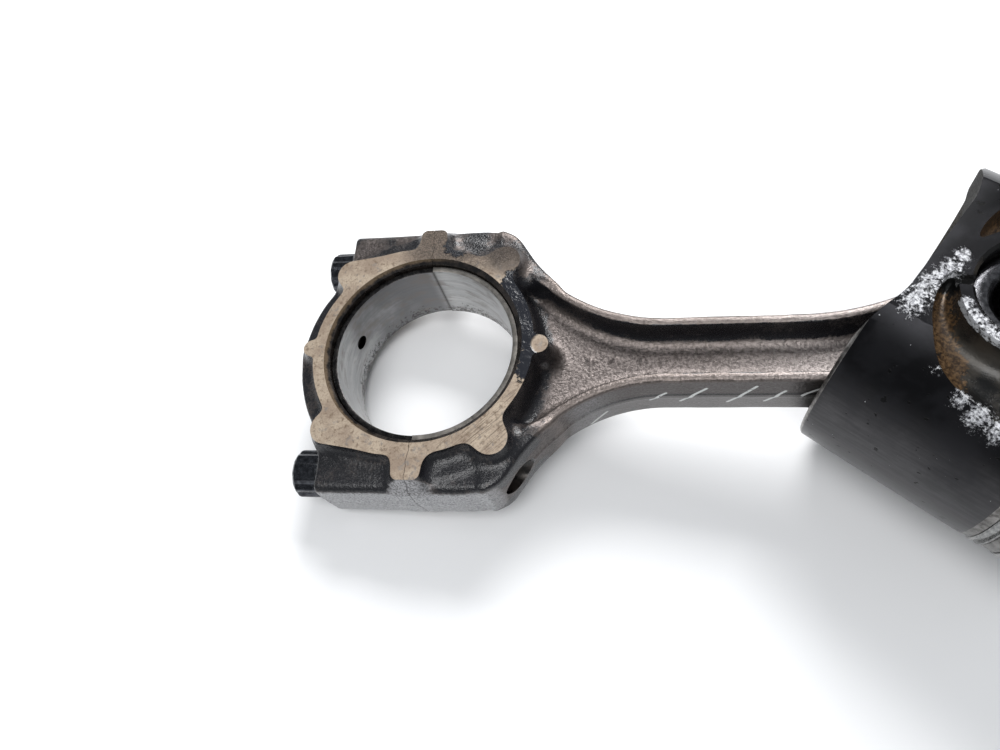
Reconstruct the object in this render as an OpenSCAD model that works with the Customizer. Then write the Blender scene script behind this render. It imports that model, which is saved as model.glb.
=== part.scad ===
// Connecting rod with its bolted cap, bearing shells, wrist pin, piston and piston rings.
// Millimetres. The origin is the centre of the big-end bore, +X runs along the rod to the
// small end, +Z is up along both bores. The piston is drawn at its rest swing angle.

/* [Big end] */
// distance from the big-end bore centre to the small-end bore centre
centre_distance = 146; // [110:0.5:180]
// thickness of the big end between its two thrust faces
big_end_t = 28.4; // [20:0.2:34]
// radius of the machined housing bore that holds the bearing shells
housing_r = 27.25; // [20:0.05:34]
// 45 degree chamfer on both mouths of the housing bore
housing_chamfer = 1.2; // [0.3:0.1:1.5]
// outer radius of the raised thrust ring
thrust_ring_r = 32; // [28:0.1:40]
// outer radius of the forged rim below the thrust ring
rim_r = 37.8; // [34:0.1:46]
// half thickness of the forged rim
rim_half_t = 9.8; // [6:0.1:12]
// gap left along the split between the rod and its cap
split_gap = 0.1; // [0.04:0.02:0.3]
// reach of the two pads beside the split, from the rod's centre line
split_pad_y = 38.6; // [34:0.1:42]
// half width of the pads beside the split
split_pad_half_w = 4.1; // [2:0.1:6]
// radius of the corners of those pads
split_pad_corner_r = 1.5; // [0.5:0.1:1.9]

/* [Bolt bosses] */
// distance of each bolt axis from the rod's centre line
bolt_y = 33; // [28:0.1:40]
// radius of the rounded forged boss around each bolt
boss_r = 10.3; // [7:0.1:13]
// distance from the rod's centre line to the middle of each boss
boss_y = 31; // [26:0.1:38]
// radius, from the bore centre, that rounds off the rod-side end of each boss
boss_end_r = 44.5; // [42:0.1:48]
// distance from the split to the seat under each bolt head
bolt_seat_x = 26.5; // [24:0.5:38]

/* [Shank] */
// half width of the I-section shank at its waist
shank_half_w = 9.6; // [6:0.05:14]
// half thickness of the shank's flanges
flange_half_t = 9.6; // [6:0.1:12]
// width of each flange
flange_w = 2.8; // [1.5:0.1:5]
// half thickness of the web between the flanges
web_half_t = 1.9; // [1:0.1:4]
// radius of the flare from the shank into the big end
big_flare_r = 46.5; // [30:0.5:70]
// where that flare leaves the straight part of the shank
big_flare_x = 67; // [55:0.5:80]
// radius of the flare from the shank into the small end
small_flare_r = 68; // [40:1:90]
// where that flare leaves the straight part of the shank
small_flare_x = 101; // [90:0.5:115]

/* [Small end] */
// outer radius of the small-end eye
eye_r = 19.5; // [17.5:0.1:26]
// half thickness of the eye at its bore centre
eye_half_t = 11; // [8:0.1:14]
// taper of each side of the eye, rise over run
eye_taper = 0.1; // [0:0.01:0.15]
// wall thickness of the pressed-in bush
bush_wall = 1.5; // [1:0.1:3]

/* [Cap bolts] */
// radius of the bolt's thread and shank
bolt_r = 4.45; // [3.5:0.05:6]
// radius of the clearance hole through the cap
cap_hole_r = 4.8; // [4.6:0.05:6.5]
// distance the bolt reaches past the split
bolt_reach = 22; // [16:0.5:26]
// radius of the flange under the bolt head
bolt_flange_r = 7.2; // [6:0.1:9]
// thickness of that flange
bolt_flange_t = 1.8; // [1:0.1:3]
// half the width across the flats of the two crossed hexagons of the head
bolt_head_flat_r = 6; // [4:0.1:7]
// total height of the bolt head
bolt_head_h = 9.5; // [6:0.1:10]

/* [Bearing shells] */
// running radius of the bearing shells
bearing_r = 25.45; // [20:0.05:30]
// width of the shell on the rod side
rod_shell_w = 24; // [16:0.1:28]
// width of the shell on the cap side
cap_shell_w = 23; // [16:0.1:28]
// radius of the oil hole through the cap-side shell
oil_hole_r = 2.2; // [1:0.1:3]
// direction of the oil hole seen from above, counted from +X
oil_hole_angle = 160; // [100:1:260]

/* [Wrist pin] */
// outer radius of the wrist pin
pin_r = 13; // [9:0.05:14]
// radius of the hole through the wrist pin
pin_hole_r = 8; // [4:0.1:9]
// bevel inside both ends of that hole
pin_bevel = 1.3; // [0.3:0.1:2]
// length of the wrist pin
pin_l = 60; // [50:0.5:70]
// wire radius of the two circlips
circlip_wire_r = 0.8; // [0.5:0.05:1.2]
// opening of each circlip
circlip_gap_angle = 60; // [30:5:90]

/* [Piston] */
// swing of the piston at rest, its crown's direction counted from +X
rest_swing = -37; // [-44:1:44]
// radius of the skirt
skirt_r = 40.46; // [36:0.01:44]
// radius of the lands between the rings
land_r = 40.1; // [36:0.05:44]
// distance from the pin axis to the crown
crown_h = 45.8; // [38:0.1:52]
// distance from the pin axis to the open end of the skirt
skirt_l = 26; // [20:0.1:34]
// depth of the notch in the open end, beside each pin boss
skirt_notch = 3; // [0.5:0.1:5]
// half width of that notch at the open end, across the piston
skirt_notch_half_w = 30; // [26:0.1:32]
// how far each side of the notch slants inwards
skirt_notch_slant = 13; // [2:0.5:20]
// inner radius of the skirt
skirt_inner_r = 35.8; // [32:0.1:40]
// distance from the rod's mid plane to the outer face of each pin boss
boss_face_z = 34.8; // [32:0.1:38]
// outer radius of the ring that stands around each end of the pin bore
boss_ring_r = 16.4; // [15:0.1:20]
// width of the slot across that ring, where a pick reaches the circlip
clip_slot_w = 2.6; // [1:0.1:4]
// direction of that slot, counted from the crown's side
clip_slot_angle = 205; // [150:1:240]
// distance from the rod's mid plane to the floor of the recess around each boss
recess_floor_z = 27; // [24:0.1:32]
// outer radius of each pin boss inside the piston
pin_boss_r = 19; // [17:0.1:24]
// side clearance between the pin bosses and the small-end eye
boss_side_gap = 2; // [0.5:0.1:3]
// radius of the combustion bowl at its lip
bowl_lip_r = 21.5; // [15:0.1:26]
// depth of the combustion bowl
bowl_depth = 14; // [8:0.1:18]

/* [Rings] */
// outer radius of the rings as they sit in the cylinder
ring_r = 40.5; // [36:0.01:44]
// distance from the crown down to the top ring's groove
top_land_h = 9; // [5:0.1:12]
// height of the top groove
top_groove_h = 2.5; // [1.2:0.05:3.5]
// height of the second groove
second_groove_h = 2; // [1.2:0.05:3]
// height of the oil groove
oil_groove_h = 3; // [2:0.05:4.5]
// height of the land between the first two grooves
second_land_h = 5; // [3:0.1:7]
// height of the land above the oil groove
third_land_h = 3.3; // [2:0.1:5]
// radius of the bottom of the two upper grooves
groove_floor_r = 36.6; // [33:0.05:38]
// radius of the bottom of the oil groove
oil_groove_floor_r = 36; // [33:0.05:38]
// gap in each ring
ring_gap = 0.6; // [0.3:0.05:1.5]

/* [Hidden] */
$fn = 96;
through = 200;
running_gap = 0.05;
ring_side_gap = 0.1;
shell_outer_r = housing_r - running_gap;
bush_outer_r = pin_r + running_gap + bush_wall;
bush_hole_r = pin_r + running_gap;
bush_seat_r = bush_outer_r + running_gap;
pin_bore_r = pin_r + running_gap;
rod_thread_r = bolt_r + running_gap;
top_groove_x = crown_h - top_land_h - top_groove_h;
second_groove_x = top_groove_x - second_land_h - second_groove_h;
oil_groove_x = second_groove_x - third_land_h - oil_groove_h;
carrier_margin = 1.5;
carrier_inner_r = 31.5;
carrier_x = top_groove_x - carrier_margin;
carrier_h = top_groove_h + 2 * carrier_margin;
spring_r = 0.7;
spring_ring_r = oil_groove_floor_r + 0.15 + spring_r;
oil_ring_inner_r = spring_ring_r + spring_r + 0.1;
cavity_half_t = 21;
cavity_step_x = 14;
cavity_upper_r = 27;
cavity_roof_x = 23.5;
recess_top_x = 17;
recess_corner_r = 22.2;
recess_corner_x = 5;
recess_corner_y = 8;
clip_ring_r = pin_bore_r + 0.35;
clip_groove_r = clip_ring_r + circlip_wire_r + 0.1;
clip_z = pin_l / 2 + 0.25 + circlip_wire_r;
clip_groove_half_w = circlip_wire_r + 0.1;
clip_slot_z = boss_face_z - 1.8;

// ---- placing helpers ----

// turns a shape drawn along Z so that it runs along +X
module along_x() rotate([0, 90, 0]) children();

// puts a shape drawn about the pin axis, crown towards +X, where the piston sits at rest
module on_piston() translate([centre_distance, 0, 0]) rotate([0, 0, rest_swing]) children();

// keeps the part of a shape on one side of the split: 1 is the rod side, -1 the cap side
module one_side(side) {
    intersection() {
        children();
        translate([side * (through / 2 + split_gap / 2), 0, 0])
            cube([through, through, through], center = true);
    }
}

// a flat slab drawn from a 2D outline, centred on the mid plane
module slab(half_t) linear_extrude(height = 2 * half_t, center = true) children();

// ---- big end outlines ----

// pad that the split runs through, with round outer corners
module split_pad() {
    w = split_pad_half_w;
    c = split_pad_corner_r;
    translate([-w, 28]) square([2 * w, split_pad_y - c - 28]);
    translate([c - w, 28]) square([2 * (w - c), split_pad_y - 28]);
    for (x = [c - w, w - c])
        translate([x, split_pad_y - c]) circle(r = c);
}

// the raised thrust ring with its lobes, pads and tabs, seen from above
module thrust_outline() {
    circle(r = thrust_ring_r);
    for (s = [-1, 1]) {
        mirror([0, s > 0 ? 0 : 1]) split_pad();
        // lobe over the bolt boss on the rod side
        translate([21.8, s * 26.9]) circle(r = 4.6);
        // long lobe over the bolt boss on the cap side
        translate([-23.8, s * 24.2]) circle(r = 4.8);
        mirror([0, s > 0 ? 0 : 1]) polygon([[-24.5, 28.95], [-27.9, 22], [-20, 18], [-6, 26],
            [-6, 31], [-10, 30.8]]);
    }
    // tabs on the rod's centre line
    translate([33, 0]) circle(r = 2.7);
    translate([-32.2, 0]) circle(r = 3);
}

// the shank seen from above, from the big end to the eye, pulled in by a margin
module shank_outline(margin) {
    difference() {
        union() {
            circle(r = boss_end_r);
            translate([20, -30]) square([centre_distance - 20, 60]);
        }
        for (s = [-1, 1]) {
            translate([big_flare_x, s * (shank_half_w + big_flare_r)])
                circle(r = big_flare_r + margin, $fn = 180);
            translate([small_flare_x, s * (shank_half_w + small_flare_r)])
                circle(r = small_flare_r + margin, $fn = 180);
            translate([big_flare_x, s > 0 ? shank_half_w - margin : -through - shank_half_w + margin])
                square([small_flare_x - big_flare_x, through]);
        }
    }
}

// the pocket between the flanges, from the thrust ring's wall to the eye
module pocket_outline() {
    difference() {
        shank_outline(flange_w);
        circle(r = thrust_ring_r + 1.4);
        translate([33, 0]) circle(r = 3.3);
        translate([centre_distance, 0]) circle(r = eye_r + 3);
        translate([-through + 24, -through / 2]) square([through, through]);
        translate([centre_distance - 12, -through / 2]) square([through, through]);
        for (s = [-1, 1])
            translate([0, s * (boss_y - boss_r + through / 2)]) square(through, center = true);
    }
}

// the two forged bolt bosses, one on each side of the rod
module bolt_bosses(x0, x1) {
    for (s = [-1, 1])
        translate([x0, s * boss_y, 0]) along_x() cylinder(r = boss_r, h = x1 - x0);
}

// cuts shared by the rod and its cap
module housing_cut() {
    cylinder(r = housing_r, h = through, center = true);
    for (s = [-1, 1])
        translate([0, 0, s * (big_end_t / 2 - housing_chamfer / 2 + 0.01)])
            cylinder(r1 = housing_r + (s < 0 ? housing_chamfer : 0),
                r2 = housing_r + (s > 0 ? housing_chamfer : 0), h = housing_chamfer, center = true);
}

// a hole along each bolt axis
module bolt_holes(r, x0, x1) {
    for (s = [-1, 1])
        translate([x0, s * bolt_y, 0]) along_x() cylinder(r = r, h = x1 - x0);
}

// the wedge that tapers the sides of the small-end eye, thinner towards the crown
module taper_wedge(half_t, reach) {
    rotate([90, 0, 0]) linear_extrude(height = 2 * reach, center = true)
        polygon([[-reach, half_t + eye_taper * reach], [reach, half_t - eye_taper * reach],
            [reach, -half_t + eye_taper * reach], [-reach, -half_t - eye_taper * reach]]);
}

// ---- rod and cap ----

// forged rod: big-end half, I-section shank and small-end eye
module rod_body() color("dimgray") difference() {
    union() {
        one_side(1) slab(big_end_t / 2) thrust_outline();
        one_side(1) slab(rim_half_t) circle(r = rim_r);
        one_side(1) intersection() {
            bolt_bosses(0, 40);
            slab(through / 2) shank_outline(0);
        }
        slab(flange_half_t) difference() {
            shank_outline(0);
            translate([-through + 20, -through / 2]) square([through, through]);
            translate([centre_distance, 0]) circle(r = bush_seat_r + 1);
        }
        translate([centre_distance, 0, 0]) intersection() {
            cylinder(r = eye_r, h = 40, center = true);
            taper_wedge(eye_half_t, eye_r + 1);
        }
    }
    housing_cut();
    bolt_holes(rod_thread_r, -1, 60);
    translate([centre_distance, 0, 0]) cylinder(r = bush_seat_r, h = through, center = true);
    for (s = [-1, 1])
        translate([0, 0, s * (web_half_t + 10)]) slab(10) pocket_outline();
}

// forged cap, clamped to the rod by the two bolts
module rod_cap() color("dimgray") difference() {
    union() {
        one_side(-1) slab(big_end_t / 2) thrust_outline();
        one_side(-1) slab(rim_half_t) circle(r = rim_r);
        one_side(-1) bolt_bosses(-bolt_seat_x, 1);
    }
    housing_cut();
    bolt_holes(cap_hole_r, -bolt_seat_x - 1, 1);
    // clears the bolt heads where the rim comes close to them
    for (s = [-1, 1])
        translate([-bolt_seat_x - 12, s * bolt_y, 0]) along_x()
            cylinder(r = bolt_flange_r + 1, h = 12);
}

// ---- cap bolts ----

// twelve-point flanged bolt, its head outside the cap
module cap_bolt() {
    translate([-bolt_seat_x, 0, 0]) along_x() {
        cylinder(r = bolt_r, h = bolt_seat_x + bolt_reach - 1);
        translate([0, 0, bolt_seat_x + bolt_reach - 1])
            cylinder(r1 = bolt_r, r2 = bolt_r - 0.8, h = 1);
    }
    translate([-bolt_seat_x - bolt_flange_t, 0, 0]) along_x()
        cylinder(r = bolt_flange_r, h = bolt_flange_t);
    translate([-bolt_seat_x - bolt_head_h, 0, 0]) along_x() {
        for (turn = [0, 30])
            rotate([0, 0, turn])
                cylinder(r = bolt_head_flat_r / cos(30), h = bolt_head_h - bolt_flange_t, $fn = 6);
    }
}

module cap_bolt_lower() color("black") translate([0, -bolt_y, 0]) cap_bolt();

module cap_bolt_upper() color("black") translate([0, bolt_y, 0]) cap_bolt();

// ---- bearing shells and bush ----

// one half of the plain bearing
module bearing_shell(side, width) {
    one_side(side) difference() {
        cylinder(r = shell_outer_r, h = width, center = true);
        cylinder(r = bearing_r, h = width + 2, center = true);
    }
}

module bearing_shell_rod() color("silver") bearing_shell(1, rod_shell_w);

module bearing_shell_cap() color("silver") difference() {
    bearing_shell(-1, cap_shell_w);
    rotate([0, 0, oil_hole_angle]) translate([bearing_r - 3, 0, 0])
        along_x() cylinder(r = oil_hole_r, h = 6);
}

// bronze bush pressed into the small-end eye
module small_end_bush() color("peru") translate([centre_distance, 0, 0]) intersection() {
    difference() {
        cylinder(r = bush_outer_r, h = 40, center = true);
        cylinder(r = bush_hole_r, h = 42, center = true);
    }
    taper_wedge(eye_half_t - 0.2, eye_r + 1);
}

// ---- wrist pin and circlips ----

// hollow pin, bevelled outside and inside at both ends
module wrist_pin() color("lightslategray") translate([centre_distance, 0, 0])
    rotate_extrude() polygon([
        [pin_hole_r, -pin_l / 2 + pin_bevel],
        [pin_hole_r + pin_bevel, -pin_l / 2],
        [pin_r - 0.6, -pin_l / 2],
        [pin_r, -pin_l / 2 + 1],
        [pin_r, pin_l / 2 - 1],
        [pin_r - 0.6, pin_l / 2],
        [pin_hole_r + pin_bevel, pin_l / 2],
        [pin_hole_r, pin_l / 2 - pin_bevel]]);

// open ring of round wire in the groove outside the pin's end
module circlip(z) {
    on_piston() translate([0, 0, z]) rotate([0, 0, 180 + circlip_gap_angle / 2])
        rotate_extrude(angle = 360 - circlip_gap_angle)
            translate([clip_ring_r, 0]) circle(r = circlip_wire_r, $fn = 32);
}

module circlip_lower() color("gray") circlip(-clip_z);

module circlip_upper() color("gray") circlip(clip_z);

// ---- piston ----

// outside of the piston with its ring grooves, turned about the piston's axis
module piston_blank() {
    along_x() rotate_extrude($fn = 180) polygon([
        [0, -skirt_l],
        [skirt_r - 0.8, -skirt_l],
        [skirt_r, -skirt_l + 0.8],
        [skirt_r, oil_groove_x - 1.5],
        [land_r, oil_groove_x - 1],
        [land_r, oil_groove_x],
        [oil_groove_floor_r, oil_groove_x],
        [oil_groove_floor_r, oil_groove_x + oil_groove_h],
        [land_r, oil_groove_x + oil_groove_h],
        [land_r, second_groove_x],
        [groove_floor_r, second_groove_x],
        [groove_floor_r, second_groove_x + second_groove_h],
        [land_r, second_groove_x + second_groove_h],
        [land_r, carrier_x - running_gap],
        [carrier_inner_r - running_gap, carrier_x - running_gap],
        [carrier_inner_r - running_gap, carrier_x + carrier_h + running_gap],
        [land_r, carrier_x + carrier_h + running_gap],
        [land_r, crown_h - 0.5],
        [land_r - 0.5, crown_h],
        [0, crown_h]]);
}

// combustion bowl with its raised centre and four shallow valve pockets
module crown_cuts() {
    translate([crown_h, 0, 0]) along_x() rotate_extrude() polygon([
        [0, 1],
        [bowl_lip_r, 1],
        [bowl_lip_r, -2],
        [bowl_lip_r + 2, -5],
        [bowl_lip_r + 2, -10],
        [bowl_lip_r, -12.8],
        [bowl_lip_r - 3.5, -bowl_depth],
        [bowl_lip_r - 8, -bowl_depth],
        [3, -6.5],
        [0, -6]]);
    for (y = [-17, 17], z = [-17, 17])
        translate([crown_h - 0.7, y, z]) along_x() cylinder(r = 12.5, h = 2);
}

// hollow inside the skirt, open towards the rod
module piston_cavity() {
    intersection() {
        translate([-skirt_l - 1, 0, 0]) along_x()
            cylinder(r = skirt_inner_r, h = skirt_l + 1 + cavity_step_x);
        cube([through, through, 2 * cavity_half_t], center = true);
    }
    intersection() {
        translate([0, 0, 0]) along_x() cylinder(r = cavity_upper_r, h = cavity_roof_x);
        cube([through, through, 2 * cavity_half_t], center = true);
        taper_wedge(eye_half_t + boss_side_gap, 60);
    }
}

// the two pin bosses that reach into the hollow, cut back beside the eye
module pin_bosses() {
    difference() {
        for (s = [-1, 1])
            translate([0, 0, s * (cavity_half_t - 2)]) {
                cylinder(r = pin_boss_r, h = 20, center = true);
                translate([0, -pin_boss_r, -10]) cube([cavity_step_x + 1, 2 * pin_boss_r, 20]);
            }
        taper_wedge(eye_half_t + boss_side_gap, 60);
    }
}

// flats on both sides of the piston, and the recess that leaves each pin boss as a ring
module side_recesses() {
    for (s = [-1, 1]) {
        translate([recess_top_x - 60, -40, s > 0 ? boss_face_z : -boss_face_z - 20])
            cube([60, 80, 20]);
        difference() {
            translate([0, 0, s * (recess_floor_z + 10)]) slab(10) recess_outline();
            cylinder(r = boss_ring_r, h = through, center = true);
        }
    }
}

// the recess seen along the pin: open across the piston, with round corners near the skirt's end
module recess_outline() {
    translate([recess_corner_x, -40]) square([recess_top_x - recess_corner_x, 80]);
    translate([recess_corner_x - recess_corner_r, -recess_corner_y])
        square([recess_corner_r + 1, 2 * recess_corner_y]);
    for (s = [-1, 1])
        translate([recess_corner_x, s * recess_corner_y]) circle(r = recess_corner_r);
}

// the open end stands back beside the pin bosses, so the thrust sides reach furthest
module skirt_end_notch() {
    w = skirt_notch_half_w;
    slab(through / 2) polygon([
        [-skirt_l - 10, -w],
        [-skirt_l, -w],
        [-skirt_l + skirt_notch, -w + skirt_notch_slant],
        [-skirt_l + skirt_notch, w - skirt_notch_slant],
        [-skirt_l, w],
        [-skirt_l - 10, w]]);
}

// grooves for the circlips, their slots, and the pin bore through both bosses
module pin_bore_cuts() {
    cylinder(r = pin_bore_r, h = through, center = true);
    for (s = [-1, 1]) {
        translate([0, 0, s * clip_z])
            cylinder(r = clip_groove_r, h = 2 * clip_groove_half_w, center = true);
        translate([0, 0, s * (boss_face_z - 0.4)])
            cylinder(r1 = pin_bore_r + (s < 0 ? 0.81 : 0), r2 = pin_bore_r + (s > 0 ? 0.81 : 0),
                h = 0.81, center = true);
        rotate([0, 0, clip_slot_angle])
            translate([pin_bore_r - 1, -clip_slot_w / 2, s > 0 ? clip_slot_z : -clip_slot_z - 10])
                cube([boss_ring_r + 3 - pin_bore_r, clip_slot_w, 10]);
    }
}

module piston() color("gainsboro") on_piston() difference() {
    union() {
        difference() {
            piston_blank();
            piston_cavity();
            side_recesses();
            skirt_end_notch();
        }
        intersection() {
            pin_bosses();
            along_x() cylinder(r = skirt_inner_r + 1, h = 60, center = true);
        }
    }
    pin_bore_cuts();
    crown_cuts();
}

// iron ring cast into the piston around the top groove
module ring_carrier() color("darkgray") on_piston() along_x() rotate_extrude($fn = 180) polygon([
    [carrier_inner_r, carrier_x],
    [land_r, carrier_x],
    [land_r, top_groove_x],
    [groove_floor_r, top_groove_x],
    [groove_floor_r, top_groove_x + top_groove_h],
    [land_r, top_groove_x + top_groove_h],
    [land_r, carrier_x + carrier_h],
    [carrier_inner_r, carrier_x + carrier_h]]);

// ---- piston rings ----

// split ring lying in a groove: inner radius, groove position, groove height, turn of its gap
module piston_ring(inner_r, groove_x, groove_h, turn) {
    on_piston() translate([groove_x + ring_side_gap, 0, 0]) along_x() rotate([0, 0, turn])
        difference() {
            cylinder(r = ring_r, h = groove_h - 2 * ring_side_gap, $fn = 180);
            translate([0, 0, -1]) cylinder(r = inner_r, h = groove_h + 2, $fn = 180);
            translate([0, -ring_gap / 2, -1]) cube([ring_r + 2, ring_gap, groove_h + 2]);
        }
}

module top_ring() color("slategray")
    piston_ring(groove_floor_r + 0.6, top_groove_x, top_groove_h, 90);

module second_ring() color("slategray")
    piston_ring(groove_floor_r + 0.6, second_groove_x, second_groove_h, 270);

module oil_ring() color("slategray")
    piston_ring(oil_ring_inner_r, oil_groove_x, oil_groove_h, 90);

// coil spring behind the oil ring, drawn as a plain round ring
module oil_ring_spring() color("gray") on_piston()
    translate([oil_groove_x + oil_groove_h / 2, 0, 0]) along_x() rotate_extrude()
        translate([spring_ring_r, 0]) circle(r = spring_r, $fn = 32);

// ---- output ----

rod_body();
rod_cap();
cap_bolt_lower();
cap_bolt_upper();
bearing_shell_rod();
bearing_shell_cap();
small_end_bush();
wrist_pin();
circlip_lower();
circlip_upper();
piston();
ring_carrier();
top_ring();
second_ring();
oil_ring();
oil_ring_spring();
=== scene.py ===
import math
import bmesh
import bpy
import numpy as np
from mathutils import Matrix, Vector


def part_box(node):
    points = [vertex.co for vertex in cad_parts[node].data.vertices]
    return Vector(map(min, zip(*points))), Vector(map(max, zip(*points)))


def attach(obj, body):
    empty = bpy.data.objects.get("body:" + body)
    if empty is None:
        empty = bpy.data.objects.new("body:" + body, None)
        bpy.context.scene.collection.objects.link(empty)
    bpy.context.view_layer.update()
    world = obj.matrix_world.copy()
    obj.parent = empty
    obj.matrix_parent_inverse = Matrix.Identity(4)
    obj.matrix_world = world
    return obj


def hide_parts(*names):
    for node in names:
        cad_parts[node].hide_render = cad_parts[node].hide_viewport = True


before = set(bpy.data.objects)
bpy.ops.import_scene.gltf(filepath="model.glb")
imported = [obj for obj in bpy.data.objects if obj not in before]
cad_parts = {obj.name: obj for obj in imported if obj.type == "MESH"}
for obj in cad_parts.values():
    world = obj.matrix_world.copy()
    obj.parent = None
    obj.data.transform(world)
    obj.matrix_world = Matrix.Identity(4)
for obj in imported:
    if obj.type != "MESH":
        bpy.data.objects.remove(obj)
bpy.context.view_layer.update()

# All sizes below are in millimetres, in the object's own frame: X along the rod, Z along the bores.
MM = 0.001
THRUST_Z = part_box("rod_body")[1].z / MM  # half the width across the thrust faces
HEAD_H = 9.5  # bolt head from its seat to its end
SEAT_X = -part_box("cap_bolt_lower")[0].x / MM - HEAD_H  # bolt seat from the split
BOLT_Y = 33.0  # bolt from the rod's centre line
HOUSING_R = 27.25  # bore for the bearing shells
PIN_R = 13.0
PIN_BORE_R = 13.05  # in the bush and in the piston
PIN_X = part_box("wrist_pin")[1].x / MM - PIN_R
EYE_R = 19.5  # small end, outside
EYE_BORE_R = 14.6
SWING = math.radians(-37)  # the piston's turn about the pin at rest
GRID = 0.55  # spacing of the forging's mesh


# ---------------------------------------------------------------- fields and meshes

def smin(a, b, k):
    """Union of two fields with a fillet."""
    h = np.maximum(k - np.abs(a - b), 0) / k
    return np.minimum(a, b) - h * h * k / 4


def smax(a, b, k):
    """Intersection of two fields with a rounded edge."""
    return -smin(-a, -b, k)


def ramp(v, lo, hi):
    """0 at lo, 1 at hi, with soft ends."""
    t = np.clip((v - lo) / (hi - lo), 0, 1)
    return t * t * (3 - 2 * t)


def capsule(x, y, p, q, r):
    """Distance in the plane to a thick line from p to q."""
    ux, uy = q[0] - p[0], q[1] - p[1]
    t = np.clip(((x - p[0]) * ux + (y - p[1]) * uy) / (ux * ux + uy * uy), 0, 1)
    return np.hypot(x - p[0] - t * ux, y - p[1] - t * uy) - r


def disc(x, y, cx, cy, r):
    """Distance in the plane to a round spot."""
    return np.hypot(x - cx, y - cy) - r


def rounded_box(x, y, half_x, half_y, r):
    """Distance in the plane to a rectangle about the origin with corners of radius r."""
    qx, qy = np.abs(x) - half_x + r, np.abs(y) - half_y + r
    return np.hypot(np.maximum(qx, 0), np.maximum(qy, 0)) + np.minimum(np.maximum(qx, qy), 0) - r


def lumps(x, y, z, size):
    """Gentle uneven swells, about one unit high, a few sizes apart."""
    a, b, c = x / size, y / size, z / size
    return (np.sin(a + 1.7 * np.sin(0.7 * b + 0.4)) + np.sin(1.3 * b + 1.1 * np.sin(0.9 * c + a))
            + np.sin(1.1 * c + 0.8 * a + 2.0)) / 3


def net(field, lo, hi, step):
    """Vertices and quads of a field's zero surface, worked out for a quarter and mirrored in Y and Z."""
    axes = [np.arange(a, b + step, step) for a, b in zip(lo, hi)]
    for i in (1, 2):
        n = int(math.ceil(hi[i] / step))
        axes[i] = (np.arange(n) + 0.5) * step
    f = field(*np.meshgrid(*axes, indexing="ij"))
    f = np.concatenate([f[:, ::-1], f], axis=1)
    f = np.concatenate([f[:, :, ::-1], f], axis=2)
    axes[1:] = [np.concatenate([-a[::-1], a]) for a in axes[1:]]
    for i in range(3):
        for end in (0, -1):
            edge = [slice(None)] * 3
            edge[i] = end
            f[tuple(edge)] = np.maximum(f[tuple(edge)], 0.3 * step)
    strides = [f.shape[1] * f.shape[2], f.shape[2], 1]
    cells, points, quads = [], [], []
    for ax in range(3):
        b, c = (ax + 1) % 3, (ax + 2) % 3
        first = [slice(None)] * 3
        second = [slice(None)] * 3
        first[ax], second[ax] = slice(0, -1), slice(1, None)
        for o in (b, c):
            first[o] = second[o] = slice(1, -1)
        f0, f1 = f[tuple(first)], f[tuple(second)]
        hit = np.argwhere((f0 < 0) != (f1 < 0))
        v0, v1 = f0[tuple(hit.T)], f1[tuple(hit.T)]
        hit = hit + np.array([0 if i == ax else 1 for i in range(3)])
        at = np.stack([axes[i][hit[:, i]] for i in range(3)], 1)
        at[:, ax] += v0 / (v0 - v1) * step
        base = hit @ np.array(strides)
        ring = np.stack([base - strides[b] - strides[c], base - strides[c], base,
                         base - strides[b]], 1)
        ring[v0 > 0] = ring[v0 > 0][:, ::-1]
        quads.append(ring)
        cells.append(ring.ravel())
        points.append(np.repeat(at, 4, axis=0))
    cells, points, quads = map(np.concatenate, (cells, points, quads))
    where = np.unique(cells, return_inverse=True)[1]
    count = np.bincount(where)
    v = np.stack([np.bincount(where, points[:, i]) / count for i in range(3)], 1)
    quads = where.reshape(quads.shape)
    for _ in range(3):
        v = settle(field, v, step)
    return v, quads


def settle(field, v, step):
    """One careful Newton step of every vertex onto the field's zero surface."""
    e = 0.02
    x, y, z = v.T
    f = field(x, y, z)
    g = np.stack([field(x + e, y, z) - field(x - e, y, z), field(x, y + e, z) - field(x, y - e, z),
                  field(x, y, z + e) - field(x, y, z - e)], 1) / (2 * e)
    move = -f[:, None] * g / np.maximum((g * g).sum(1), 0.2)[:, None]
    far = np.linalg.norm(move, axis=1)[:, None]
    return v + move * np.minimum(1, 0.4 * step / np.maximum(far, 1e-9))


def new_object(name, v, faces):
    """Mesh object from vertices in millimetres and faces as index lists or a quad array."""
    me = bpy.data.meshes.new(name)
    v = np.asarray(v, float) * MM
    if isinstance(faces, np.ndarray):
        n = faces.shape[1]
        me.vertices.add(len(v))
        me.vertices.foreach_set("co", v.ravel())
        me.loops.add(faces.size)
        me.loops.foreach_set("vertex_index", faces.ravel().astype(np.int32))
        me.polygons.add(len(faces))
        me.polygons.foreach_set("loop_start", np.arange(len(faces), dtype=np.int32) * n)
        me.update(calc_edges=True)
    else:
        me.from_pydata(v.tolist(), [], faces)
    me.validate()
    ob = bpy.data.objects.new(name, me)
    bpy.context.scene.collection.objects.link(ob)
    return ob


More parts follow.
